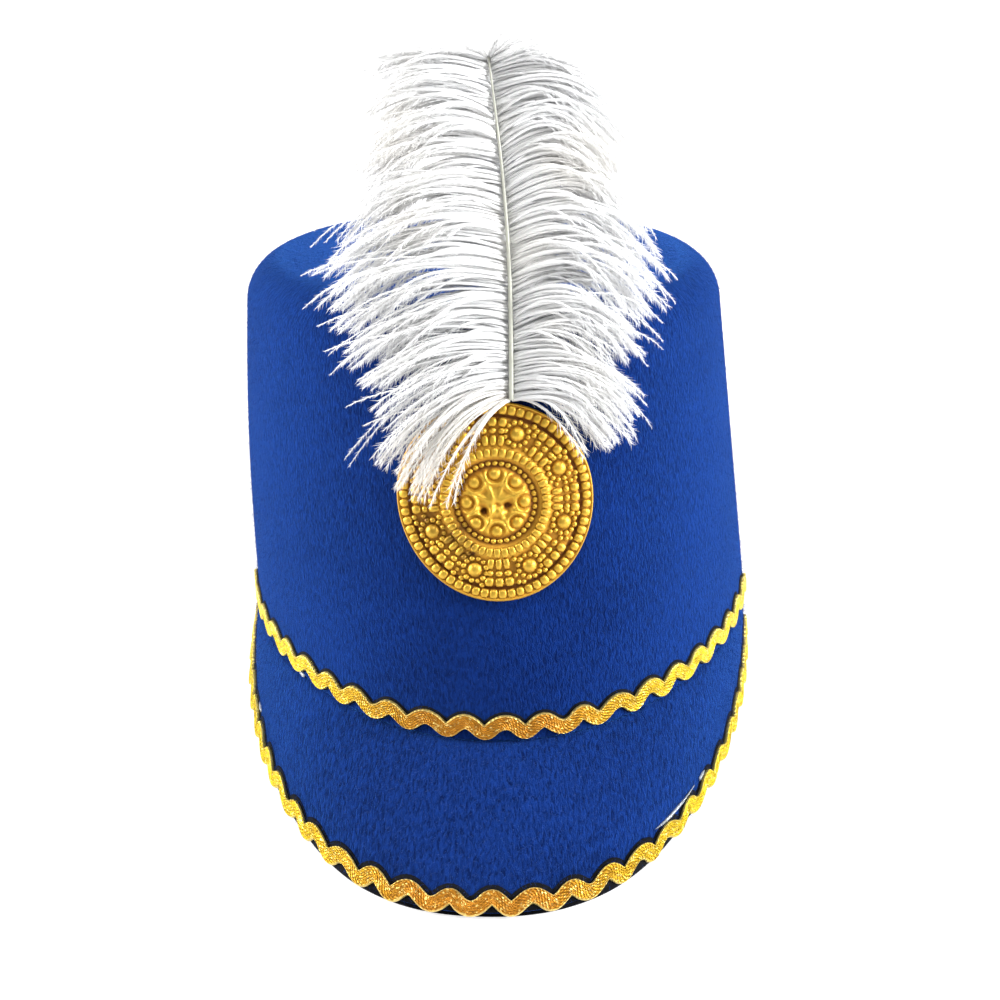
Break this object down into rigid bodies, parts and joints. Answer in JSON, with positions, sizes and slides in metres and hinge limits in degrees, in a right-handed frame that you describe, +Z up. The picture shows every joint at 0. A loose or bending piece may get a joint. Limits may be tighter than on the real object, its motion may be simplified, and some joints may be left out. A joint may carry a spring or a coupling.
{
  "type": "shako hat",
  "caption": "Felt parade shako with a tall hollow crown, flat top, drooping peak, gold rickrack trim, a round relief badge and a white ostrich plume.",
  "frame": {"origin": "middle of the footprint, on the surface that the hat stands on", "axes": "+Z up, -Y towards the front with the peak and the badge, +X to the right in a view from the front; the hat leans back as it rests"},
  "size_m": [0.1816, 0.2608, 0.2285],
  "materials": {
    "crown_felt": "matte felt with a short nap",
    "peak_felt": "matte felt with a short nap",
    "lining": "dull black",
    "gold_braid": "woven metallic thread",
    "badge_gold": "satin gold with brown recesses",
    "feather": "soft white barbs",
    "quill": "smooth pale shaft"
  },
  "bodies": {
    "root": {"crown": "crown_felt", "peak": "peak_felt", "peak_lining": "lining", "seam_trim": "gold_braid", "peak_trim": "gold_braid", "badge": "badge_gold", "plume": "feather", "quill": "quill"}
  },
  "joints": []
}
